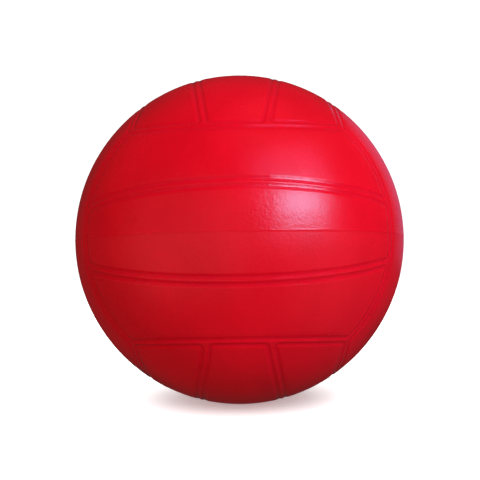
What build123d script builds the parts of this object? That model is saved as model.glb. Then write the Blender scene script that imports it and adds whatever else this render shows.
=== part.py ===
"""Playground rubber ball: an air-filled ball with a one-piece moulded rubber cover over a wound
carcass, a bladder and an inflation valve. Dimensions are in millimetres.

The origin is the ball's centre and +Z runs out through the valve. Sunken twin lines on the cover
mark eighteen panels, three strips on each of six faces. The strips run along X on the front and
back faces (-Y and +Y), along Y on the top and bottom (+Z and -Z) and along Z on the sides (+X, -X).
"""
from build123d import *
from collections import namedtuple
from math import acos, asin, atan2, cos, degrees, radians, sin, sqrt
import os

# The ball and its layers, from the outside in
ball_diameter = 216.0
cover_wall = 1.3
carcass_wall = 0.4
winding_wall = 0.4
bladder_wall = 0.6
bond_gap = 0.05

# The twin lines between the panels: two shallow round-bottomed grooves with a narrow crest between
# them. A groove's corner is as tight as its own width allows.
groove_width = 3.8
groove_depth = 0.4
crest_width = 0.3
groove_corner_margin = 0.3
groove_cutter_rise = 0.02

# The panel pattern, as angles at the ball's centre
face_bulge_angle = 11.5
strip_middle_angle = 14.0
strip_end_angle = 9.25

# The valve housing: a neck through the layers, a flange inside the bladder and a body below it
neck_radius = 4.4
neck_sink = 0.3
neck_chamfer = 0.4
neck_clearance = 0.1
flange_radius = 15.0
flange_wall = 1.1
flange_rim_radius = 0.4
patch_radius = 22.0
patch_wall = 0.5
body_radius = 6.0
body_end_depth = 21.0
body_root_fillet = 1.5
body_end_chamfer = 0.6

# The valve insert: a soft plug with a head, a stem and a bulb that locks it under the housing
insert_clearance = 0.05
insert_head_radius = 3.0
insert_head_wall = 1.0
insert_head_chamfer = 0.25
insert_stem_radius = 2.3
insert_bulb_radius = 3.2
insert_bulb_rim = 1.0
insert_bulb_length = 4.5
insert_tip_radius = 1.6
needle_channel_radius = 1.1
needle_channel_depth = 14.0
needle_funnel_radius = 1.7
needle_funnel_depth = 0.6

ball_radius = ball_diameter / 2
groove_corner_radius = groove_width / 2 + groove_corner_margin
cover_inside = ball_radius - cover_wall
carcass_outside = cover_inside - bond_gap
carcass_inside = carcass_outside - carcass_wall
winding_outside = carcass_inside - bond_gap
winding_inside = winding_outside - winding_wall
bladder_outside = winding_inside - bond_gap
bladder_inside = bladder_outside - bladder_wall
patch_outside = bladder_inside - bond_gap
patch_inside = patch_outside - patch_wall
flange_outside = patch_inside - bond_gap
flange_inside = flange_outside - flange_wall
neck_hole_radius = neck_radius + neck_clearance
neck_top = ball_radius - neck_sink
body_end = ball_radius - body_end_depth
head_seat = neck_top - insert_head_wall
bulb_top = body_end - insert_clearance
insert_end = bulb_top - insert_bulb_length

X, Y, Z = Vector(1, 0, 0), Vector(0, 1, 0), Vector(0, 0, 1)
face_directions = [(-Y, X), (Y, X), (Z, Y), (-Z, Y), (X, Z), (-X, Z)]

# A circle drawn on the ball: the axis it goes round and its radius as an angle at the ball's centre
SeamCircle = namedtuple("SeamCircle", "axis angle")


def direction(toward, aside, angle):
    """The unit vector that leans by an angle in degrees from one direction to another at 90 to it."""
    return toward * cos(radians(angle)) + aside * sin(radians(angle))


def square_to(vector, axis):
    """The unit vector along the part of a vector that is square to a unit axis."""
    return (vector - axis * vector.dot(axis)).normalized()


def circle_through(start, middle, end):
    """The circle on the ball through three directions."""
    axis = (middle - start).cross(end - start).normalized()
    return SeamCircle(axis, acos(axis.dot(middle)))


def border(normal, toward, along, angle):
    """A face's border with its neighbour: through two corners of a cube and a bulged middle."""
    corners = [(normal + toward + along * side).normalized() for side in (-1, 1)]
    return circle_through(corners[0], direction(normal, toward, angle), corners[1])


def strip_line(normal, across, along, ends):
    """The line between a face's middle strip and its strip on the across side."""
    meets = []
    for circle, side in zip(ends, (-1, 1)):
        middle = direction(normal, along * side, 45 + face_bulge_angle)
        turn = asin(sin(radians(strip_end_angle)) / sin(circle.angle))
        spoke = square_to(middle, circle.axis) * cos(turn) + across * sin(turn)
        meets.append(circle.axis * cos(circle.angle) + spoke * sin(circle.angle))
    return circle_through(meets[0], direction(normal, across, strip_middle_angle), meets[1])


def panels():
    """Each of the eighteen panels: its centre, its long direction and its four border circles."""
    for normal, along in face_directions:
        ends = [border(normal, along * side, along.cross(normal), 45 + face_bulge_angle)
                for side in (-1, 1)]
        lines = []
        for across in (along.cross(normal), normal.cross(along)):
            line = strip_line(normal, across, along, ends)
            side = border(normal, across, along, 45 - face_bulge_angle)
            half_way = (strip_middle_angle + 45 - face_bulge_angle) / 2
            yield direction(normal, across, half_way), along, [line, ends[1], side, ends[0]]
            lines.append(line)
        yield normal, along, [lines[0], ends[1], lines[1], ends[0]]


def inset(circle, centre, distance):
    """The circle moved into the panel by a distance along the cover."""
    angle = distance / ball_radius
    return SeamCircle(circle.axis, circle.angle - angle if holds(circle, centre) else circle.angle + angle)


def holds(circle, point):
    """Whether a direction lies inside a circle's cap."""
    return point.dot(circle.axis) > cos(circle.angle)


def corner_circle(first, second, centre, hint):
    """The small circle that rounds the corner where two of a panel's circles meet."""
    angle = groove_corner_radius / ball_radius
    reach = [cos(c.angle - angle if holds(c, centre) else c.angle + angle) for c in (first, second)]
    lean = first.axis.dot(second.axis)
    share = 1 - lean * lean
    flat = (first.axis * (reach[0] - lean * reach[1]) + second.axis * (reach[1] - lean * reach[0])) / share
    rise = first.axis.cross(second.axis).normalized() * sqrt(1 - flat.dot(flat))
    middles = [flat + rise, flat - rise]
    return SeamCircle(max(middles, key=lambda middle: middle.dot(hint)), angle)


def touch_point(circle, corner):
    """Where a corner circle touches one of the two circles that it joins."""
    return circle.axis * cos(circle.angle) + square_to(corner.axis, circle.axis) * sin(circle.angle)


def groove_piece(circle, start, end):
    """The cutter for one stretch of groove: a round-bottomed section turned about a circle's axis."""
    before, after = square_to(start, circle.axis), square_to(end, circle.axis)
    turn = atan2(circle.axis.dot(before.cross(after)), before.dot(after))
    axis = circle.axis if turn > 0 else -circle.axis
    aside = square_to(axis, start)
    bottom_radius = ((groove_width / 2) ** 2 + groove_depth ** 2) / (2 * groove_depth)
    fall = groove_depth + groove_cutter_rise
    half_width = sqrt(bottom_radius ** 2 - (bottom_radius - fall) ** 2)
    lips = [start * (ball_radius + groove_cutter_rise) + aside * half_width * side for side in (-1, 1)]
    section = make_face([
        ThreePointArc(lips[0], start * (ball_radius - groove_depth), lips[1]).edge(),
        Line(lips[1], lips[0]).edge(),
    ])
    return revolve(section, Axis((0, 0, 0), axis), revolution_arc=degrees(abs(turn)))


def panel_groove(centre, along, borders):
    """The closed groove round one panel, as cutters that meet end to end."""
    distance = (groove_width + crest_width) / 2
    circles = [inset(circle, centre, distance) for circle in borders]
    hints = [(centre + along * side).normalized() for side in (1, 1, -1, -1)]
    corners = [corner_circle(circles[i], circles[(i + 1) % 4], centre, hints[i]) for i in range(4)]
    pieces = []
    for i in range(4):
        circle, before, after = circles[i], corners[i - 1], corners[i]
        pieces.append(groove_piece(circle, touch_point(circle, before), touch_point(circle, after)))
        onward = circles[(i + 1) % 4]
        pieces.append(groove_piece(after, touch_point(circle, after), touch_point(onward, after)))
    return pieces


def post(radius, bottom, top):
    """An upright cylinder round the Z axis between two heights."""
    return Pos(0, 0, (bottom + top) / 2) * Cylinder(radius, top - bottom)


def layer(outside, inside, hole_radius):
    """A closed spherical layer with a round hole at the top for the valve's neck."""
    return Sphere(outside) - Sphere(inside) - post(hole_radius, 0, outside + hole_radius)


def outer_cover():
    """The moulded cover, with a closed groove round each panel and the hole for the valve."""
    cutters = [piece for panel in panels() for piece in panel_groove(*panel)]
    return layer(ball_radius, cover_inside, neck_hole_radius) - cutters


def valve_patch():
    """The reinforcing disc between the bladder and the valve's flange."""
    return layer(patch_outside, patch_inside, neck_hole_radius) & post(patch_radius, 0, patch_outside)


def round_edges(solid, radius, lowest):
    """A solid's circular edges of one radius that lie above a height."""
    return [edge for edge in solid.edges().filter_by(GeomType.CIRCLE)
            if abs(edge.radius - radius) < bond_gap and edge.center().Z > lowest]


def valve_housing():
    """The moulded valve housing: neck, flange and body, with a stepped hole for the insert."""
    flange = layer(flange_outside, flange_inside, neck_radius / 2)
    flange &= post(flange_radius, 0, flange_outside)
    neck = post(neck_radius, flange_inside, neck_top)
    neck = chamfer(neck.edges().group_by(Axis.Z)[-1], neck_chamfer)
    body_top = sqrt(flange_inside ** 2 - body_radius ** 2) + flange_wall / 2
    body = post(body_radius, body_end, body_top)
    body = chamfer(body.edges().group_by(Axis.Z)[0], body_end_chamfer)
    housing = flange + neck + body
    body_middle = (body_end + body_top) / 2
    housing = fillet(round_edges(housing, body_radius, body_middle), body_root_fillet)
    housing = fillet(round_edges(housing, flange_radius, body_middle), flange_rim_radius)
    stem_hole = post(insert_stem_radius + insert_clearance, insert_end, neck_top)
    head_hole = post(insert_head_radius + insert_clearance, head_seat - insert_clearance, ball_radius)
    return housing - stem_hole - head_hole


def valve_insert():
    """The self-sealing plug: a blind needle channel with a funnel, closed again at its inner end."""
    outline = [
        (0, neck_top),
        (insert_head_radius - insert_head_chamfer, neck_top),
        (insert_head_radius, neck_top - insert_head_chamfer),
        (insert_head_radius, head_seat),
        (insert_stem_radius, head_seat),
        (insert_stem_radius, bulb_top),
        (insert_bulb_radius, bulb_top),
        (insert_bulb_radius, bulb_top - insert_bulb_rim),
        (insert_tip_radius, insert_end),
        (0, insert_end),
    ]
    corners = [(x, 0, z) for x, z in outline]
    edges = [Line(start, end).edge() for start, end in zip(corners, corners[1:] + corners[:1])]
    plug = revolve(make_face(edges), Axis.Z)
    funnel = Pos(0, 0, neck_top - needle_funnel_depth / 2) * Cone(
        needle_channel_radius, needle_funnel_radius, needle_funnel_depth)
    return plug - post(needle_channel_radius, neck_top - needle_channel_depth, ball_radius) - funnel


parts = {
    "outer_cover": outer_cover(),
    "carcass_ply": layer(carcass_outside, carcass_inside, neck_hole_radius),
    "nylon_winding": layer(winding_outside, winding_inside, neck_hole_radius),
    "bladder": layer(bladder_outside, bladder_inside, neck_hole_radius),
    "valve_patch": valve_patch(),
    "valve_housing": valve_housing(),
    "valve_insert": valve_insert(),
}

os.makedirs("parts", exist_ok=True)
for name, shape in parts.items():
    export_step(shape, f"parts/{name}.step")
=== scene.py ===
"""The looks of a playground rubber ball: its moulded cover, the layers under it, its valve and a studio.

Everything is in metres, with the ball's centre at the origin and +Z running out through the valve.
Three strips mark each of six faces: they run along X on the front and back faces (-Y and +Y),
along Y on the top and bottom (+Z and -Z) and along Z on the sides (+X and -X).
"""

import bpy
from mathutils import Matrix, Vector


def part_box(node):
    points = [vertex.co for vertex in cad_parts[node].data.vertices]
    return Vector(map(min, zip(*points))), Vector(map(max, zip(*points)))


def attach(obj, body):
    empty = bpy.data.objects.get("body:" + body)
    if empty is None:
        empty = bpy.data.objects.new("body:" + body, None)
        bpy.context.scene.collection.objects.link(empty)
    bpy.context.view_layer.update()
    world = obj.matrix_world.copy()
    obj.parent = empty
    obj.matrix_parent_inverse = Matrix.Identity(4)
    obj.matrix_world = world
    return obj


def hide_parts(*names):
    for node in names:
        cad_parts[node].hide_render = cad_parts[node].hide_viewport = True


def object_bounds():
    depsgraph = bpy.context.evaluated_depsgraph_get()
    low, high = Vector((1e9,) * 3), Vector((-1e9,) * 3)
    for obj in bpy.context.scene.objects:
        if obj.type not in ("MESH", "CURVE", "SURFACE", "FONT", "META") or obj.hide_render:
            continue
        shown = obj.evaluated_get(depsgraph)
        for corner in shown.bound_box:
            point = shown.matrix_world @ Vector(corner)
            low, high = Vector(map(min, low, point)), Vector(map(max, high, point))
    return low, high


bl_info = {
    "name": "Playground Rubber Ball",
    "version": (1, 0, 0),
    "blender": (4, 5, 0),
    "location": "3D View > Sidebar > Ball",
    "description": "Builds the moulded rubber cover, the wound layers, the valve and a studio for them",
    "category": "Add Mesh",
}

from collections import namedtuple
from math import acos, asin, atan2, cos, pi, radians, sin, sqrt

import bmesh
import bpy
import numpy as np
from bpy.props import FloatProperty, FloatVectorProperty, PointerProperty
from mathutils import Matrix, Vector

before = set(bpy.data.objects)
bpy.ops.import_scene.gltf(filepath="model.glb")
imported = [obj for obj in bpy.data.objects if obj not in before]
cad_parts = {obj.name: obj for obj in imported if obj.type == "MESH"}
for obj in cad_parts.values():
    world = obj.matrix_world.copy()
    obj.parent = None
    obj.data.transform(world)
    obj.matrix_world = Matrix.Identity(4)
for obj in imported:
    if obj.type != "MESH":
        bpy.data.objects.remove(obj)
cad_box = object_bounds()
cover_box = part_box("outer_cover")
ball_radius = -cover_box[0].z

X, Y, Z = np.eye(3)
face_directions = [(-Y, X), (Y, X), (Z, Y), (-Z, Y), (X, Z), (-X, Z)]

# A circle drawn on the ball: the axis it goes round and its radius as an angle at the ball's centre
SeamCircle = namedtuple("SeamCircle", "axis angle")
# A run of the moulded pattern's grid: where it ends, as a share of a face's border, and its spacing
Run = namedtuple("Run", "end spacing")


def length_setting(name, description, default):
    """A size in metres that a user can change."""
    return FloatProperty(name=name, description=description, default=default, min=0, unit="LENGTH",
                         subtype="DISTANCE", precision=5)


def angle_setting(name, description, degrees_default):
    """An angle at the ball's centre that a user can change."""
    return FloatProperty(name=name, description=description, default=radians(degrees_default),
                         unit="ROTATION", subtype="ANGLE")


def share_setting(name, description, default):
    """A number from 0 to 1 that a user can change."""
    return FloatProperty(name=name, description=description, default=default, min=0, max=1,
                         subtype="FACTOR")


def colour_setting(name, description, default):
    """A colour that a user can change."""
    return FloatVectorProperty(name=name, description=description, default=default, size=3, min=0,
                               max=1, subtype="COLOR")


def power_setting(name, description, default):
    """A lamp's power that a user can change."""
    return FloatProperty(name=name, description=description, default=default, min=0, unit="POWER")


class CoverSizes(bpy.types.PropertyGroup):
    """The moulded cover's pattern and walls"""

    groove_width: length_setting("Groove Width", "Width of one sunken line", 0.0038)
    groove_depth: length_setting("Groove Depth", "Depth of one sunken line", 0.0004)
    crest_width: length_setting("Crest Width", "Flat rubber between two neighbouring lines", 0.0003)
    corner_margin: length_setting("Corner Margin", "Inner radius of a line's corners", 0.0003)
    face_bulge: angle_setting("Face Bulge", "How far a face's border bows at its middle", 11.5)
    strip_middle: angle_setting("Strip at Middle", "Half the middle strip's width at its middle", 14.0)
    strip_end: angle_setting("Strip at End", "Half the middle strip's width at its ends", 9.25)
    wall: length_setting("Wall", "Thickness of the cover's rubber", 0.0013)
    valve_hole: length_setting("Valve Hole", "Radius of the hole for the valve", 0.0045)
    hole_rounding: length_setting("Hole Rounding", "Radius of the valve hole's rim", 0.00035)
    parting_height: length_setting("Parting Line Height", "Height of the mould's parting line", 0.00008)
    parting_width: length_setting("Parting Line Width", "Width of the mould's parting line", 0.0018)


class RubberLook(bpy.types.PropertyGroup):
    """The colours and gloss of the rubber pieces"""

    cover: colour_setting("Cover", "Red of the cover's rubber", (0.85, 0.0010, 0.007))
    # Painted shade: a darker red that the sunken lines are tinted with
    groove_shade: colour_setting("Dust", "Tone of the dust that lies in the lines", (0.62, 0.008, 0.018))
    roughness: share_setting("Roughness", "Roughness of the cover's skin, upper half", 0.24)
    lower_roughness: share_setting("Lower Roughness", "Roughness of the skin, lower half", 0.32)
    groove_roughness: share_setting("Groove Roughness", "Roughness of the skin in the lines", 0.12)
    valve: colour_setting("Valve", "Red of the valve housing", (0.50, 0.012, 0.022))
    plug: colour_setting("Plug", "Tone of the oiled plug", (0.018, 0.018, 0.020))


class LayerLook(bpy.types.PropertyGroup):
    """The colours of the layers under the cover"""

    carcass: colour_setting("Carcass", "Tone of the rubber under the cover", (0.045, 0.040, 0.038))
    thread: colour_setting("Thread", "Tone of the wound thread", (0.74, 0.71, 0.62))
    latex: colour_setting("Latex", "Tone of the latex between the threads", (0.58, 0.47, 0.28))
    thread_width: length_setting("Thread Width", "Spacing of the wound threads", 0.0008)
    bladder: colour_setting("Bladder", "Tone of the air-tight bladder", (0.020, 0.020, 0.023))
    patch: colour_setting("Patch", "Tone of the patch round the valve", (0.14, 0.12, 0.10))


class StudioSetup(bpy.types.PropertyGroup):
    """The camera and the lights"""

    lens: FloatProperty(name="Lens", description="Focal length", default=52.19, min=1, unit="CAMERA")
    distance: length_setting("Distance", "From the camera to the ball's centre", 0.4698)
    side_power: power_setting("Side Light", "Power of the softbox at the right", 9.0)
    strip_power: power_setting("Strip Light", "Power of the small bright panel in the softbox", 18.0)
    window_power: power_setting("Window Light", "Power of the long panel behind and over the camera", 0.7)
    front_power: power_setting("Front Light", "Power of the panel at the left, unseen in gloss", 10.8)
    top_power: power_setting("Top Light", "Power of the panel overhead, unseen in gloss", 2.8)
    right_power: power_setting("Right Light", "Power of the low panel at the right, unseen in gloss", 1.7)
    back_power: power_setting("Back Light", "Power of the panel behind the ball", 0.4)
    floor_power: power_setting("Floor Light", "Power of the wide light over the floor", 92.0)
    room_light: FloatProperty(name="Room Light", description="Strength of the room's own light",
                              default=0.19, min=0)
    room_gloss: share_setting("Room Gloss", "Share of the room's light that gloss shows", 0.2)


# --- The moulded pattern ---------------------------------------------------------------------


def unit(vector):
    """A vector scaled to a length of one."""
    return vector / np.linalg.norm(vector)


def direction(toward, aside, angle):
    """The unit vector that leans by an angle from one direction to another at 90 degrees to it."""
    return toward * cos(angle) + aside * sin(angle)


def square_to(vector, axis):
    """The unit vector along the part of a vector that is square to a unit axis."""
    return unit(vector - axis * vector.dot(axis))


def circle_through(start, middle, end):
    """The circle on the ball through three directions."""
    axis = unit(np.cross(middle - start, end - start))
    return SeamCircle(axis, acos(axis.dot(middle)))


def cube_corner(normal, toward, along):
    """The direction where three faces meet."""
    return unit(normal + toward + along)


def border(normal, toward, along, angle):
    """A face's border with its neighbour: through two corners of a cube and a bulged middle."""
    start, end = cube_corner(normal, toward, -along), cube_corner(normal, toward, along)
    return circle_through(start, direction(normal, toward, angle), end)


def arc(circle, start, end, shares):
    """Points on a circle, at shares of the way from one of its directions to another."""
    before, after = square_to(start, circle.axis), square_to(end, circle.axis)
    aside = np.cross(circle.axis, before)
    turn = atan2(after.dot(aside), after.dot(before)) * np.asarray(shares)[:, None]
    spokes = before * np.cos(turn) + aside * np.sin(turn)
    return circle.axis * cos(circle.angle) + spokes * sin(circle.angle)


def strip_corner(normal, across, along, sizes):
    """Where a strip line meets the face's end on the along side, and the end's circle."""
    circle = border(normal, along, across, pi / 4 + sizes.face_bulge)
    middle = direction(normal, along, pi / 4 + sizes.face_bulge)
    turn = asin(sin(sizes.strip_end) / sin(circle.angle))
    spoke = square_to(middle, circle.axis) * cos(turn) + across * sin(turn)
    return circle.axis * cos(circle.angle) + spoke * sin(circle.angle), circle


def strip_share(sizes):
    """How far along a face's end the first strip line meets it."""
    meet, circle = strip_corner(Z, -X, Y, sizes)
    start, end = cube_corner(Z, Y, -X), cube_corner(Z, Y, X)
    spokes = [square_to(point, circle.axis) for point in (start, meet, end)]
    return acos(spokes[0].dot(spokes[1])) / acos(spokes[0].dot(spokes[2]))


def grid_shares(sizes):
    """The grid lines along every border: close together where a groove runs, wide elsewhere."""
    meet = strip_share(sizes)
    circle = border(Z, Y, X, pi / 4 + sizes.face_bulge)
    spokes = [square_to(cube_corner(Z, Y, side), circle.axis) for side in (-X, X)]
    border_length = ball_radius * sin(circle.angle) * acos(spokes[0].dot(spokes[1]))
    reach = (sizes.groove_width + sizes.crest_width / 2) / border_length
    line = sizes.parting_width / border_length
    groove_step, strip_step, parting_step, open_step = 0.00038, 0.0003, 0.00035, 0.0030
    past_groove, past_strip, past_parting = 1.3, 1.1, 0.6
    runs = [
        Run(reach * past_groove, groove_step),
        Run(meet - reach * past_groove, open_step),
        Run(meet, groove_step),
        Run(meet + reach * past_strip, strip_step),
        Run(0.5 - line * past_parting, open_step),
        Run(0.5, parting_step),
    ]
    shares = [0.0]
    for run in runs:
        count = max(1, round((run.end - shares[-1]) * border_length / run.spacing))
        shares += list(np.linspace(shares[-1], run.end, count + 1)[1:])
    return np.array(shares + [1 - share for share in reversed(shares[:-1])])


def inset(circle, centre, distance):
    """The circle moved into the panel by a distance along the cover."""
    angle = distance / ball_radius
    return SeamCircle(circle.axis, circle.angle - angle if holds(circle, centre) else circle.angle + angle)


def holds(circle, point):
    """Whether a direction lies inside a circle's cap."""
    return point.dot(circle.axis) > cos(circle.angle)


def corner_circle(first, second, centre, corner, radius):
    """The small circle that rounds the corner where two of a panel's circles meet."""
    angles = [inset(circle, centre, radius).angle for circle in (first, second)]
    reach = cos(angles[0]), cos(angles[1])
    lean = first.axis.dot(second.axis)
    flat = first.axis * (reach[0] - lean * reach[1]) + second.axis * (reach[1] - lean * reach[0])
    flat = flat / (1 - lean * lean)
    rise = unit(np.cross(first.axis, second.axis)) * sqrt(1 - flat.dot(flat))
    middle = max((flat + rise, flat - rise), key=lambda point: point.dot(corner))
    return SeamCircle(middle, radius / ball_radius)


def touch_point(circle, corner):
    """Where a corner circle touches one of the two circles that it joins."""
    return circle.axis * cos(circle.angle) + square_to(corner.axis, circle.axis) * sin(circle.angle)


def panel_line(borders, corners, centre, sizes):
    """The middle line of the groove round a panel, as arcs that meet end to end."""
    spacing = (sizes.groove_width + sizes.crest_width) / 2
    rounding = sizes.groove_width / 2 + sizes.corner_margin
    sides = [inset(circle, centre, spacing) for circle in borders]
    rounds = [corner_circle(sides[i], sides[(i + 1) % 4], centre, corner, rounding)
              for i, corner in enumerate(corners)]
    for i, side in enumerate(sides):
        onward = sides[(i + 1) % 4]
        yield side, touch_point(side, rounds[i - 1]), touch_point(side, rounds[i])
        yield rounds[i], touch_point(side, rounds[i]), touch_point(onward, rounds[i])


def away_from_line(points, arcs):
    """How far points lie from a closed line of arcs, along the cover."""
    nearest = np.full(len(points), ball_radius)
    slack = 0.001
    for circle, start, end in arcs:
        before = square_to(start, circle.axis)
        aside = np.cross(circle.axis, before)
        whole = atan2(end.dot(aside), end.dot(before))
        share = np.arctan2(points @ aside, points @ before) / whole
        away = np.abs(np.arccos(np.clip(points @ circle.axis, -1, 1)) - circle.angle) * ball_radius
        beside = (share > -slack) & (share < 1 + slack)
        nearest = np.where(beside, np.minimum(nearest, away), nearest)
    return nearest


def groove_section(share, lip=0.07):
    """A groove's depth, from 1 on its middle line to 0 at its softened lips, with a rounded bottom."""
    share = np.clip(share, 0, 1)
    wall = 2 / 3 * (1 - lip) ** 1.5
    turn = sqrt(1 - lip) * lip / 2
    climb = np.where(share < 1 - lip, 2 / 3 * share ** 1.5, wall + turn * (1 - ((1 - share) / lip) ** 2))
    return 1 - climb / (wall + turn)


def face_strips(normal, along, sizes):
    """A face's three strips: each one's two long curves, its two end circles and its centre."""
    across = np.cross(normal, along)
    ends = [strip_corner(normal, across, along * side, sizes)[1] for side in (-1, 1)]
    curves = []
    for side, middle in ((-1, None), (-1, sizes.strip_middle), (1, sizes.strip_middle), (1, None)):
        if middle is None:
            tips = [cube_corner(normal, across * side, along * way) for way in (-1, 1)]
            circle = border(normal, across * side, along, pi / 4 - sizes.face_bulge)
        else:
            tips = [strip_corner(normal, across * side, along * way, sizes)[0] for way in (-1, 1)]
            circle = circle_through(tips[0], direction(normal, across * side, middle), tips[1])
        curves.append((circle, tips))
    side_lean = (sizes.strip_middle + pi / 4 - sizes.face_bulge) / 2
    for low, high, lean in zip(curves, curves[1:], (-side_lean, 0.0, side_lean)):
        yield low, high, ends, direction(normal, across, lean)


def strip_points(low, high, ends, along_shares, across_shares):
    """A strip's grid of directions: rows across it, columns along it, filled in from its borders."""
    (low_circle, low_tips), (high_circle, high_tips) = low, high
    s = ((along_shares - along_shares[0]) / (along_shares[-1] - along_shares[0]))[None, :, None]
    t = ((across_shares - across_shares[0]) / (across_shares[-1] - across_shares[0]))[:, None, None]
    bottom = arc(low_circle, *low_tips, s.ravel())[None]
    top = arc(high_circle, *high_tips, s.ravel())[None]
    left = arc(ends[0], low_tips[0], high_tips[0], t.ravel())[:, None]
    right = arc(ends[1], low_tips[1], high_tips[1], t.ravel())[:, None]
    corners = ((1 - t) * ((1 - s) * low_tips[0] + s * low_tips[1])
               + t * ((1 - s) * high_tips[0] + s * high_tips[1]))
    points = (1 - t) * bottom + t * top + (1 - s) * left + s * right - corners
    return points / np.linalg.norm(points, axis=2, keepdims=True)


def face_surface(normal, along, shares, sizes):
    """A face's grid of points on the cover's outside, with its grooves and its parting line."""
    meet = int(np.argmin(np.abs(shares - strip_share(sizes))))
    cuts = [0, meet, len(shares) - 1 - meet, len(shares) - 1]
    rows = []
    for (low, high, ends, centre), start, stop in zip(face_strips(normal, along, sizes), cuts, cuts[1:]):
        grid = strip_points(low, high, ends, shares, shares[start:stop + 1])
        borders = [low[0], ends[1], high[0], ends[0]]
        corners = [low[1][1], high[1][1], high[1][0], low[1][0]]
        away = away_from_line(grid.reshape(-1, 3), list(panel_line(borders, corners, centre, sizes)))
        depth = groove_section(away / (sizes.groove_width / 2)) * sizes.groove_depth
        height = -depth.reshape(grid.shape[:2]) + parting_ridge(grid[..., 2] * ball_radius, sizes)
        rows.append((grid * (ball_radius + height)[..., None])[0 if start == 0 else 1:])
    return np.concatenate(rows)


def parting_ridge(height, sizes):
    """The low ridge that the two halves of the mould leave round the ball's middle."""
    share = np.clip(np.abs(height) / (sizes.parting_width / 2), 0, 1)
    return sizes.parting_height * (0.5 + 0.5 * np.cos(pi * share))


# --- The cover's mesh ------------------------------------------------------------------------


class MeshParts:
    """Points and faces that are put together into one mesh."""

    def __init__(self):
        self.points = []
        self.faces = []

    def add(self, points):
        """Adds points, and returns their numbers."""
        first = len(self.points)
        self.points.extend(np.asarray(points).reshape(-1, 3).tolist())
        return np.arange(first, len(self.points))

    def grid(self, numbers, left_out=None):
        """Joins a grid of points with quads, without those of a square in its middle."""
        for i in range(numbers.shape[0] - 1):
            for j in range(numbers.shape[1] - 1):
                if left_out and left_out[0] <= i < left_out[1] and left_out[0] <= j < left_out[1]:
                    continue
                corners = numbers[i, j], numbers[i, j + 1], numbers[i + 1, j + 1], numbers[i + 1, j]
                self.faces.append([int(number) for number in corners])

    def loops(self, loops):
        """Joins closed loops of the same number of points with quads, one after another."""
        for first, second in zip(loops, loops[1:]):
            for i in range(len(first)):
                j = (i + 1) % len(first)
                self.faces.append([int(first[i]), int(first[j]), int(second[j]), int(second[i])])

    def cap(self, loop, point):
        """Closes a loop with triangles to one point."""
        tip = int(self.add([point])[0])
        for i in range(len(loop)):
            self.faces.append([int(loop[i]), int(loop[(i + 1) % len(loop)]), tip])

    def to_object(self, name):
        """One smooth mesh of all the parts, with the points that fall together joined."""
        mesh = bpy.data.meshes.new(name)
        mesh.from_pydata(self.points, [], self.faces)
        build = bmesh.new()
        build.from_mesh(mesh)
        bmesh.ops.remove_doubles(build, verts=build.verts, dist=0.00001)
        bmesh.ops.recalc_face_normals(build, faces=build.faces)
        build.to_mesh(mesh)
        build.free()
        mesh.shade_smooth()
        piece = bpy.data.objects.new(name, mesh)
        bpy.context.scene.collection.objects.link(piece)
        return piece


def square_loop(low, high):
    """The grid places round a square, in order, without repeats."""
    span = range(low, high)
    return ([(low, j) for j in span] + [(i, high) for i in span]
            + [(high, j + 1) for j in reversed(span)] + [(i + 1, low) for i in reversed(span)])


def ring(radius, height, turns):
    """Points of a level ring round the Z axis."""
    return np.stack([radius * np.cos(turns), radius * np.sin(turns), np.full(len(turns), height)], 1)


def add_valve_hole(parts, numbers, low, high, sizes):
    """Fills the square left out of the top face with rings, down through the hole to the inside."""
    square = [int(numbers[place]) for place in square_loop(low, high)]
    points = np.array([parts.points[number] for number in square])
    turns = np.unwrap(np.arctan2(points[:, 1], points[:, 0]))
    even = turns[0] + np.linspace(0, np.sign(turns[-1] - turns[0]) * 2 * pi, len(turns), endpoint=False)
    radii = np.hypot(points[:, 0], points[:, 1])
    rim = sizes.valve_hole + sizes.hole_rounding
    ring_shares, rim_steps, inside_steps = (0.3, 0.55, 0.75, 0.88, 0.96, 1.0), 5, 28
    loops = [square]
    for share in ring_shares:
        reach = radii + (rim - radii) * share
        turn = turns + (even - turns) * share
        rise = np.sqrt(ball_radius ** 2 - reach ** 2)
        loops.append(parts.add(np.stack([reach * np.cos(turn), reach * np.sin(turn), rise], 1)))
    top = sqrt(ball_radius ** 2 - rim ** 2)
    for angle in np.linspace(0, pi / 2, rim_steps + 1)[1:]:
        reach = rim - sizes.hole_rounding * sin(angle)
        loops.append(parts.add(ring(reach, top - sizes.hole_rounding * (1 - cos(angle)), even)))
    inside = ball_radius - sizes.wall
    start = asin(sizes.valve_hole / inside)
    for angle in np.linspace(start, pi, inside_steps + 1)[:-1]:
        loops.append(parts.add(ring(inside * sin(angle), inside * cos(angle), even)))
    parts.loops(loops)
    parts.cap(loops[-1], (0, 0, -inside))


def moulded_cover(sizes):
    """The cover as one closed shell, with its grooves outside and its valve hole at the top."""
    parts = MeshParts()
    shares = grid_shares(sizes)
    # Half the side of the square that the rings round the valve hole fill, in radii of the hole
    square_to_hole = 2.4
    for normal, along in face_directions:
        surface = face_surface(normal, along, shares, sizes)
        numbers = parts.add(surface).reshape(surface.shape[:2])
        if normal is not Z:
            parts.grid(numbers)
            continue
        face_length = ball_radius * (pi / 2 + 2 * sizes.face_bulge)
        reach = sizes.valve_hole * square_to_hole / face_length
        low = int(np.searchsorted(shares, 0.5 - reach))
        high = len(shares) - 1 - low
        parts.grid(numbers, left_out=(low, high))
        add_valve_hole(parts, numbers, low, high, sizes)
    return parts.to_object("moulded_cover")


# --- Materials -------------------------------------------------------------------------------


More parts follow.
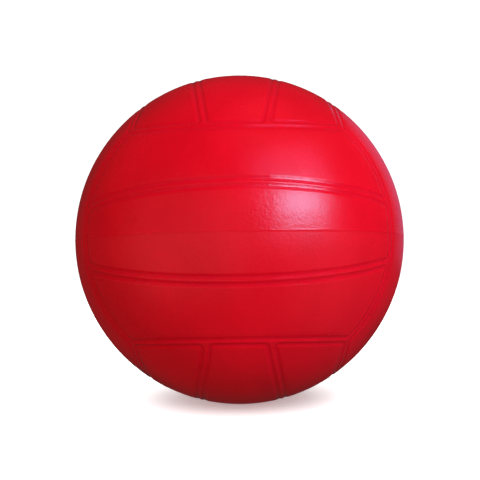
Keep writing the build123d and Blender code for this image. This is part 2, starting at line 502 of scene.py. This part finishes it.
class Finish:
    """A material that is put together node by node, from the object's own coordinates."""

    def __init__(self, name):
        self.material = bpy.data.materials.new(name)
        self.material.use_nodes = True
        self.tree = self.material.node_tree
        self.shader = self.tree.nodes["Principled BSDF"]
        self.place = self.node("ShaderNodeTexCoord").outputs["Object"]

    def node(self, kind, settings=None, **inputs):
        """A node with its settings and inputs: an input is a number, a colour or another output."""
        node = self.tree.nodes.new(kind)
        for name, value in (settings or {}).items():
            setattr(node, name, value)
        for name, value in inputs.items():
            self.put(node.inputs[name.replace("_", " ")], value)
        return node

    def put(self, socket, value):
        """Sets a socket's own value, or links an output to it."""
        if isinstance(value, bpy.types.NodeSocket):
            self.tree.links.new(value, socket)
        elif socket.type == "RGBA" and len(value) == 3:
            socket.default_value = (*value, 1)
        else:
            socket.default_value = value

    def grain(self, scale, detail=2.0, roughness=0.5, place=None):
        """A soft noise between 0 and 1, with its scale in waves per metre."""
        noise = self.node("ShaderNodeTexNoise", Vector=place or self.place, Scale=scale, Detail=detail,
                          Roughness=roughness)
        return noise.outputs["Fac"]

    def cells(self, scale):
        """The soft distance pattern of a Voronoi texture, with its scale in cells per metre."""
        cells = self.node("ShaderNodeTexVoronoi", {"feature": "SMOOTH_F1"}, Vector=self.place, Scale=scale)
        return cells.outputs["Distance"]

    def maths(self, operation, first, second=0.0):
        """A Math node."""
        node = self.node("ShaderNodeMath", {"operation": operation})
        for socket, value in zip(node.inputs, (first, second)):
            self.put(socket, value)
        return node.outputs[0]

    def spread(self, value, low, high, to_low=0.0, to_high=1.0, smooth=False):
        """A Map Range node, kept within its ends."""
        node = self.node("ShaderNodeMapRange", {"interpolation_type": "SMOOTHSTEP" if smooth else "LINEAR"})
        for socket, number in zip(node.inputs, (value, low, high, to_low, to_high)):
            self.put(socket, number)
        return node.outputs[0]

    def mix(self, share, first, second):
        """A colour mix."""
        node = self.node("ShaderNodeMix", {"data_type": "RGBA"})
        self.put(node.inputs[0], share)
        self.put(node.inputs[6], first)
        self.put(node.inputs[7], second)
        return node.outputs[2]

    def bump(self, layers):
        """Bumps on top of each other, each a height output with its depth in metres."""
        normal = None
        for height, depth in layers:
            node = self.node("ShaderNodeBump", Height=height, Distance=depth, Strength=1.0)
            if normal is not None:
                self.put(node.inputs["Normal"], normal)
            normal = node.outputs["Normal"]
        self.put(self.shader.inputs["Normal"], normal)

    def finish(self, colour, roughness, **constants):
        """Links the colour and roughness, and sets the shader's other values on its own sockets."""
        self.put(self.shader.inputs["Base Color"], colour)
        self.put(self.shader.inputs["Roughness"], roughness)
        for name, value in constants.items():
            self.put(self.shader.inputs[name.replace("_", " ")], value)
        return self.material


def moulded_red_rubber(look, sizes):
    """Red rubber as it comes from the mould, with fine grain and faint mottling; painted shade in the
    sunken lines.
    """
    rubber = Finish("moulded_red_rubber")
    reach = rubber.node("ShaderNodeVectorMath", {"operation": "LENGTH"}, Vector=rubber.place)
    sunk = rubber.spread(reach.outputs["Value"], ball_radius, ball_radius - sizes.groove_depth)
    patches = rubber.grain(22.0, detail=3.0)
    mottle = rubber.grain(420.0, detail=3.0, roughness=0.6)
    skin = rubber.grain(1500.0, detail=3.0, roughness=0.6)
    pebbles = rubber.cells(1250.0)
    darker = tuple(channel * 0.88 for channel in look.cover)
    lighter = (look.cover[0] * 1.05, look.cover[1] * 1.3, look.cover[2] * 1.2)
    colour = rubber.mix(rubber.spread(patches, 0.3, 0.7), darker, lighter)
    colour = rubber.mix(rubber.spread(mottle, 0.35, 0.65, 0.0, 0.25), colour, darker)
    # Painted shade: the sunken lines turn partly to a darker red, unevenly along them
    groove_shading = rubber.maths("MULTIPLY", sunk, rubber.spread(mottle, 0.3, 0.7, 0.12, 0.38))
    colour = rubber.mix(groove_shading, colour, tuple(look.groove_shade))
    height = rubber.node("ShaderNodeSeparateXYZ", Vector=rubber.place).outputs["Z"]
    # The skin changes from the lower to the upper finish between these heights
    lower_ends, upper_starts = -0.0004, -0.0001
    by_half = rubber.spread(height, lower_ends, upper_starts, look.lower_roughness, look.roughness)
    uneven = rubber.maths("ADD", rubber.spread(patches, 0.3, 0.7, -0.02, 0.02),
                          rubber.spread(skin, 0.3, 0.7, -0.03, 0.03))
    # The skin turns smoother between these shares of a groove's depth
    polish_starts, polish_ends = 0.14, 0.26
    polished = rubber.spread(sunk, polish_starts, polish_ends)
    rough = rubber.maths("ADD", rubber.spread(polished, 0.0, 1.0, by_half, look.groove_roughness), uneven)
    # Small level wrinkles lie in the skin just over the parting line, and fade out upward and downward
    fade_top, full_top, full_bottom, fade_bottom = 0.0055, 0.0005, 0.0002, -0.0008
    streaks = rubber.node("ShaderNodeMapping", Vector=rubber.place, Scale=(170, 170, 1100))
    wrinkles = rubber.maths("MULTIPLY", rubber.grain(1.0, detail=3.0, place=streaks.outputs["Vector"]),
                            rubber.spread(height, fade_top, full_top))
    wrinkles = rubber.maths("MULTIPLY", wrinkles, rubber.spread(height, fade_bottom, full_bottom))
    rubber.bump([
        (wrinkles, 0.00016),
        (rubber.grain(160.0, detail=2.0), 0.00006),
        (rubber.grain(560.0, detail=3.0, roughness=0.6), 0.00013),
        (skin, 0.00005),
        (pebbles, 0.00003),
    ])
    return rubber.finish(colour, rough, IOR=1.5, Specular_IOR_Level=0.22)


def calendered_rubber(look):
    """The dark rubber ply under the cover, matt, with the fine lines of the roll that pressed it."""
    rubber = Finish("calendered_rubber")
    streaks = rubber.node("ShaderNodeMapping", Vector=rubber.place, Scale=(60, 2600, 60)).outputs["Vector"]
    lines = rubber.grain(1.0, detail=3.0, place=streaks)
    grain = rubber.grain(1800.0, detail=2.0)
    darker = tuple(channel * 0.6 for channel in look.carcass)
    colour = rubber.mix(rubber.spread(lines, 0.3, 0.7), darker, tuple(look.carcass))
    rubber.bump([(lines, 0.00005), (grain, 0.00004)])
    return rubber.finish(colour, rubber.spread(grain, 0.3, 0.7, 0.62, 0.82), IOR=1.5)


def wound_thread(look):
    """Nylon thread wound in all directions and set in latex: crossed bands of fine threads."""
    winding = Finish("wound_thread")
    # A Wave texture's bands lie pi / 10 apart at a scale of 1
    bands_scale = pi / (10 * look.thread_width)
    band_turns = (0.3, 0.1, 0.0), (1.2, 0.5, 0.4), (0.6, 1.4, 1.1), (1.9, 0.9, 2.0)
    top = None
    for seed, turn in enumerate(band_turns):
        place = winding.node("ShaderNodeMapping", Vector=winding.place, Rotation=turn).outputs["Vector"]
        bands = winding.node("ShaderNodeTexWave", {"bands_direction": "X", "wave_profile": "SIN"},
                             Vector=place, Scale=bands_scale, Distortion=0.6, Detail=1.0,
                             Detail_Scale=0.02).outputs["Fac"]
        long = winding.node("ShaderNodeMapping", Vector=place, Location=(seed, 0, 0), Scale=(70, 9, 70))
        on_top = winding.spread(winding.grain(1.0, 1.0, place=long.outputs["Vector"]), 0.47, 0.53)
        if top is None:
            top = bands
        else:
            top = winding.node("ShaderNodeMix", Factor=on_top, A=top, B=bands).outputs[0]
    fluff = winding.grain(2600.0, detail=2.0)
    colour = winding.mix(winding.spread(top, 0.15, 0.6), tuple(look.latex), tuple(look.thread))
    colour = winding.mix(winding.spread(fluff, 0.3, 0.7, 0.0, 0.2), colour, tuple(look.latex))
    winding.bump([(top, 0.00018), (fluff, 0.00002)])
    return winding.finish(colour, winding.spread(top, 0.0, 1.0, 0.38, 0.66), IOR=1.53)


def dipped_rubber(look):
    """The bladder's air-tight rubber: smooth, dark, with soft flow marks and talc powder."""
    rubber = Finish("dipped_rubber")
    flow = rubber.grain(45.0, detail=4.0, roughness=0.6)
    specks = rubber.grain(900.0, detail=4.0, roughness=0.7)
    talc = rubber.spread(rubber.maths("MULTIPLY", flow, specks), 0.24, 0.40, 0.0, 0.35)
    talc_grey = (0.42, 0.41, 0.40)
    colour = rubber.mix(talc, tuple(look.bladder), talc_grey)
    rubber.bump([(flow, 0.0004), (specks, 0.00002)])
    return rubber.finish(colour, rubber.spread(talc, 0.0, 0.35, 0.42, 0.75), IOR=1.5)


def buffed_rubber(look):
    """The patch's rubber, roughened in circles so that the glue holds."""
    rubber = Finish("buffed_rubber")
    rings = rubber.node("ShaderNodeTexWave", {"wave_type": "RINGS", "rings_direction": "Z"},
                        Vector=rubber.place, Scale=420.0, Distortion=3.0, Detail=2.0).outputs["Fac"]
    crumbs = rubber.grain(1400.0, detail=4.0, roughness=0.7)
    worn = rubber.maths("MULTIPLY", rings, crumbs)
    lighter = tuple(min(1.0, channel * 1.9) for channel in look.patch)
    colour = rubber.mix(rubber.spread(worn, 0.1, 0.6), tuple(look.patch), lighter)
    rubber.bump([(rings, 0.00006), (crumbs, 0.00008)])
    return rubber.finish(colour, rubber.spread(crumbs, 0.3, 0.7, 0.75, 0.92), IOR=1.5)


def valve_red_rubber(look):
    """The valve housing's firmer red rubber, with the fine turning marks of its mould."""
    rubber = Finish("valve_red_rubber")
    marks = rubber.node("ShaderNodeTexWave", {"wave_type": "RINGS", "rings_direction": "Z"},
                        Vector=rubber.place, Scale=900.0, Distortion=0.5, Detail=1.0).outputs["Fac"]
    grain = rubber.grain(1700.0, detail=3.0)
    patches = rubber.grain(160.0, detail=2.0)
    darker = tuple(channel * 0.72 for channel in look.valve)
    colour = rubber.mix(rubber.spread(patches, 0.3, 0.7), darker, tuple(look.valve))
    rubber.bump([(marks, 0.00001), (grain, 0.00003)])
    return rubber.finish(colour, rubber.spread(grain, 0.3, 0.7, 0.36, 0.50), IOR=1.5)


def oiled_plug_rubber(look):
    """The plug's soft dark rubber, wet with silicone oil round its channel."""
    rubber = Finish("oiled_plug_rubber")
    axis = rubber.node("ShaderNodeSeparateXYZ", Vector=rubber.place).outputs
    squares = [rubber.maths("MULTIPLY", axis[name], axis[name]) for name in ("X", "Y")]
    away = rubber.maths("SQRT", rubber.maths("ADD", *squares))
    grain = rubber.grain(2400.0, detail=3.0)
    smear = rubber.grain(700.0, detail=2.0)
    oil_ends, oil_full = 0.0028, 0.0012
    wet = rubber.maths("MULTIPLY", rubber.spread(away, oil_ends, oil_full),
                       rubber.spread(smear, 0.35, 0.6))
    lighter = tuple(min(1.0, channel * 2.2) for channel in look.plug)
    colour = rubber.mix(rubber.spread(grain, 0.35, 0.65), tuple(look.plug), lighter)
    rubber.bump([(grain, 0.00003), (smear, 0.00002)])
    return rubber.finish(colour, rubber.spread(wet, 0.0, 1.0, 0.48, 0.20), IOR=1.45)


def clothe(node, material):
    """Gives a CAD node one material."""
    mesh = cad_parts[node].data
    mesh.materials.clear()
    mesh.materials.append(material)


# --- Studio ----------------------------------------------------------------------------------


def aimed(place, target, roll=0.0):
    """The placing of something that looks from one point to another."""
    turn = (Vector(target) - Vector(place)).to_track_quat("-Z", "Y").to_matrix()
    return Matrix.Translation(place) @ (turn @ Matrix.Rotation(roll, 3, "Z")).to_4x4()


def sky_place(azimuth, elevation, distance):
    """A point at an azimuth from the front toward +X, an elevation and a distance from the centre."""
    azimuth, elevation = radians(azimuth), radians(elevation)
    level = distance * cos(elevation)
    return Vector((level * sin(azimuth), -level * cos(azimuth), distance * sin(elevation)))


def soft_light(name, azimuth, elevation, distance, width, height, power, colour=(1, 1, 1), mirrored=True):
    """A rectangular soft light that faces the ball, and that shows in its gloss or doesn't."""
    data = bpy.data.lights.new(name, "AREA")
    data.shape = "RECTANGLE"
    data.size = width
    data.size_y = height
    data.energy = power
    data.color = colour
    light = bpy.data.objects.new(name, data)
    light.matrix_world = aimed(sky_place(azimuth, elevation, distance), (0, 0, 0))
    light.visible_glossy = mirrored
    bpy.context.scene.collection.objects.link(light)
    return light


def white_floor(level, power):
    """A broad pale floor that the ball stands on, with paper grain and a wide light of its own."""
    floor_reach, glow_starts, glow_ends, least_glow = 6.0, 0.3, 1.0, 0.34
    mesh = bpy.data.meshes.new("studio_floor")
    build = bmesh.new()
    bmesh.ops.create_grid(build, x_segments=8, y_segments=8, size=floor_reach,
                          matrix=Matrix.Translation((0, 0, level)))
    build.to_mesh(mesh)
    build.free()
    floor = bpy.data.objects.new("studio_floor", mesh)
    bpy.context.scene.collection.objects.link(floor)
    paper = Finish("studio_paper")
    grain = paper.grain(900.0, detail=2.0)
    colour = paper.mix(paper.spread(grain, 0.3, 0.7), (0.93, 0.93, 0.935), (0.96, 0.96, 0.96))
    reach = paper.node("ShaderNodeVectorMath", {"operation": "LENGTH"}, Vector=paper.place)
    glow = paper.spread(reach.outputs["Value"], glow_starts, glow_ends, least_glow, 1.0, smooth=True)
    paper.put(paper.shader.inputs["Emission Color"], (1, 1, 1))
    paper.put(paper.shader.inputs["Emission Strength"], glow)
    mesh.materials.append(paper.finish(colour, 0.9, Specular_IOR_Level=0.0))
    floor.visible_diffuse = False
    floor.visible_glossy = False
    lamp = soft_light("floor_light", 2, 62, 1.0, 2.6, 2.6, power)
    lit = bpy.data.collections.new("lit_by_floor_light")
    lit.objects.link(floor)
    lamp.light_linking.receiver_collection = lit
    return floor


def keep_off(lamps, floor):
    """Keeps the ball's own lamps from lighting the floor, so that they don't tint its shadow."""
    unlit = bpy.data.collections.new("not_lit_by_ball_lights")
    unlit.objects.link(floor)
    unlit.collection_objects[0].light_linking.link_state = "EXCLUDE"
    for lamp in lamps:
        lamp.light_linking.receiver_collection = unlit


def white_room(strength, gloss):
    """A white room that lights the ball softly, shows weakly in its gloss and is white to the camera."""
    world = bpy.data.worlds.new("white_room")
    world.use_nodes = True
    tree = world.node_tree
    path = tree.nodes.new("ShaderNodeLightPath").outputs
    room = tree.nodes["Background"].outputs[0]
    tree.nodes["Background"].inputs["Color"].default_value = (1, 1, 1, 1)
    tree.nodes["Background"].inputs["Strength"].default_value = strength
    white_to_camera = 1.2
    for seen_by, level in (("Is Glossy Ray", strength * gloss), ("Is Camera Ray", white_to_camera)):
        seen = tree.nodes.new("ShaderNodeBackground")
        seen.inputs["Color"].default_value = (1, 1, 1, 1)
        seen.inputs["Strength"].default_value = level
        mix = tree.nodes.new("ShaderNodeMixShader")
        tree.links.new(path[seen_by], mix.inputs[0])
        tree.links.new(room, mix.inputs[1])
        tree.links.new(seen.outputs[0], mix.inputs[2])
        room = mix.outputs[0]
    tree.links.new(room, tree.nodes["World Output"].inputs["Surface"])
    bpy.context.scene.world = world


# --- Operators -------------------------------------------------------------------------------


class BALL_OT_moulded_cover(bpy.types.Operator):
    """Build the moulded cover and give it its rubber"""

    bl_idname = "ball.moulded_cover"
    bl_label = "Moulded Cover"

    def execute(self, context):
        sizes = context.scene.ball_cover
        cover = moulded_cover(sizes)
        cover.data.materials.append(moulded_red_rubber(context.scene.ball_rubber, sizes))
        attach(cover, "root")
        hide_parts("outer_cover")
        return {"FINISHED"}


class BALL_OT_wound_layers(bpy.types.Operator):
    """Finish the carcass, the thread winding and the bladder"""

    bl_idname = "ball.wound_layers"
    bl_label = "Wound Layers"

    def execute(self, context):
        look = context.scene.ball_layers
        clothe("carcass_ply", calendered_rubber(look))
        clothe("nylon_winding", wound_thread(look))
        clothe("bladder", dipped_rubber(look))
        return {"FINISHED"}


class BALL_OT_valve(bpy.types.Operator):
    """Finish the patch, the valve housing and its plug"""

    bl_idname = "ball.valve"
    bl_label = "Inflation Valve"

    def execute(self, context):
        clothe("valve_patch", buffed_rubber(context.scene.ball_layers))
        clothe("valve_housing", valve_red_rubber(context.scene.ball_rubber))
        clothe("valve_insert", oiled_plug_rubber(context.scene.ball_rubber))
        return {"FINISHED"}


class BALL_OT_studio(bpy.types.Operator):
    """Set up the floor, the lights and the camera"""

    bl_idname = "ball.studio"
    bl_label = "Studio"

    def execute(self, context):
        setup = context.scene.ball_studio
        floor = white_floor(cad_box[0].z, setup.floor_power)
        white_room(setup.room_light, setup.room_gloss)
        lavender, violet, blue = (0.50, 0.40, 1.0), (0.60, 0.50, 1.0), (0.24, 0.66, 1.0)
        keep_off([
            soft_light("side_light", 41, 28, 1.2, 1.0, 1.1, setup.side_power, lavender),
            soft_light("strip_light", 41, 19, 1.2, 0.56, 0.32, setup.strip_power, blue),
            soft_light("window_light", 5, 8, 1.2, 2.2, 0.6, setup.window_power, violet),
            soft_light("front_light", -35, 0, 1.4, 2.4, 1.8, setup.front_power, mirrored=False),
            soft_light("top_light", 65, 62, 1.1, 1.0, 1.0, setup.top_power, mirrored=False),
            soft_light("right_light", 65, -25, 1.1, 1.0, 1.0, setup.right_power, mirrored=False),
            soft_light("back_light", 145, 14, 1.1, 0.5, 0.7, setup.back_power, (1.0, 0.50, 1.0)),
        ], floor)
        azimuth, elevation, roll = 0.95, -2.5, radians(-1.03)
        data = bpy.data.cameras.new("camera")
        data.lens = setup.lens
        data.shift_x = 0.001
        data.shift_y = -0.0006
        camera = bpy.data.objects.new("camera", data)
        camera.matrix_world = aimed(sky_place(azimuth, elevation, setup.distance), (0, 0, 0), roll)
        context.scene.collection.objects.link(camera)
        context.scene.camera = camera
        context.scene.view_settings.view_transform = "Standard"
        return {"FINISHED"}


class BALL_PT_sidebar(bpy.types.Panel):
    """The ball's settings and build steps"""

    bl_label = "Playground Ball"
    bl_space_type = "VIEW_3D"
    bl_region_type = "UI"
    bl_category = "Ball"

    def draw(self, context):
        steps = ((BALL_OT_moulded_cover, "ball_cover"), (None, "ball_rubber"),
                 (BALL_OT_wound_layers, "ball_layers"), (BALL_OT_valve, None),
                 (BALL_OT_studio, "ball_studio"))
        for operator, settings in steps:
            box = self.layout.box()
            if settings:
                group = getattr(context.scene, settings)
                for name in group.bl_rna.properties.keys():
                    if name not in {"rna_type", "name"}:
                        box.prop(group, name)
            if operator:
                box.operator(operator.bl_idname)


settings_groups = {
    "ball_cover": CoverSizes,
    "ball_rubber": RubberLook,
    "ball_layers": LayerLook,
    "ball_studio": StudioSetup,
}
operators = (BALL_OT_moulded_cover, BALL_OT_wound_layers, BALL_OT_valve, BALL_OT_studio)


def register():
    """Adds the add-on's classes and settings."""
    for shown in (*settings_groups.values(), *operators, BALL_PT_sidebar):
        bpy.utils.register_class(shown)
    for name, group in settings_groups.items():
        setattr(bpy.types.Scene, name, PointerProperty(type=group))


def unregister():
    """Takes the add-on's classes and settings away again."""
    for name in settings_groups:
        delattr(bpy.types.Scene, name)
    for shown in (BALL_PT_sidebar, *operators, *settings_groups.values()):
        bpy.utils.unregister_class(shown)


def main():
    """Builds every piece and the studio."""
    register()
    bpy.ops.ball.moulded_cover()
    bpy.ops.ball.wound_layers()
    bpy.ops.ball.valve()
    bpy.ops.ball.studio()


if __name__ == "__main__":
    main()
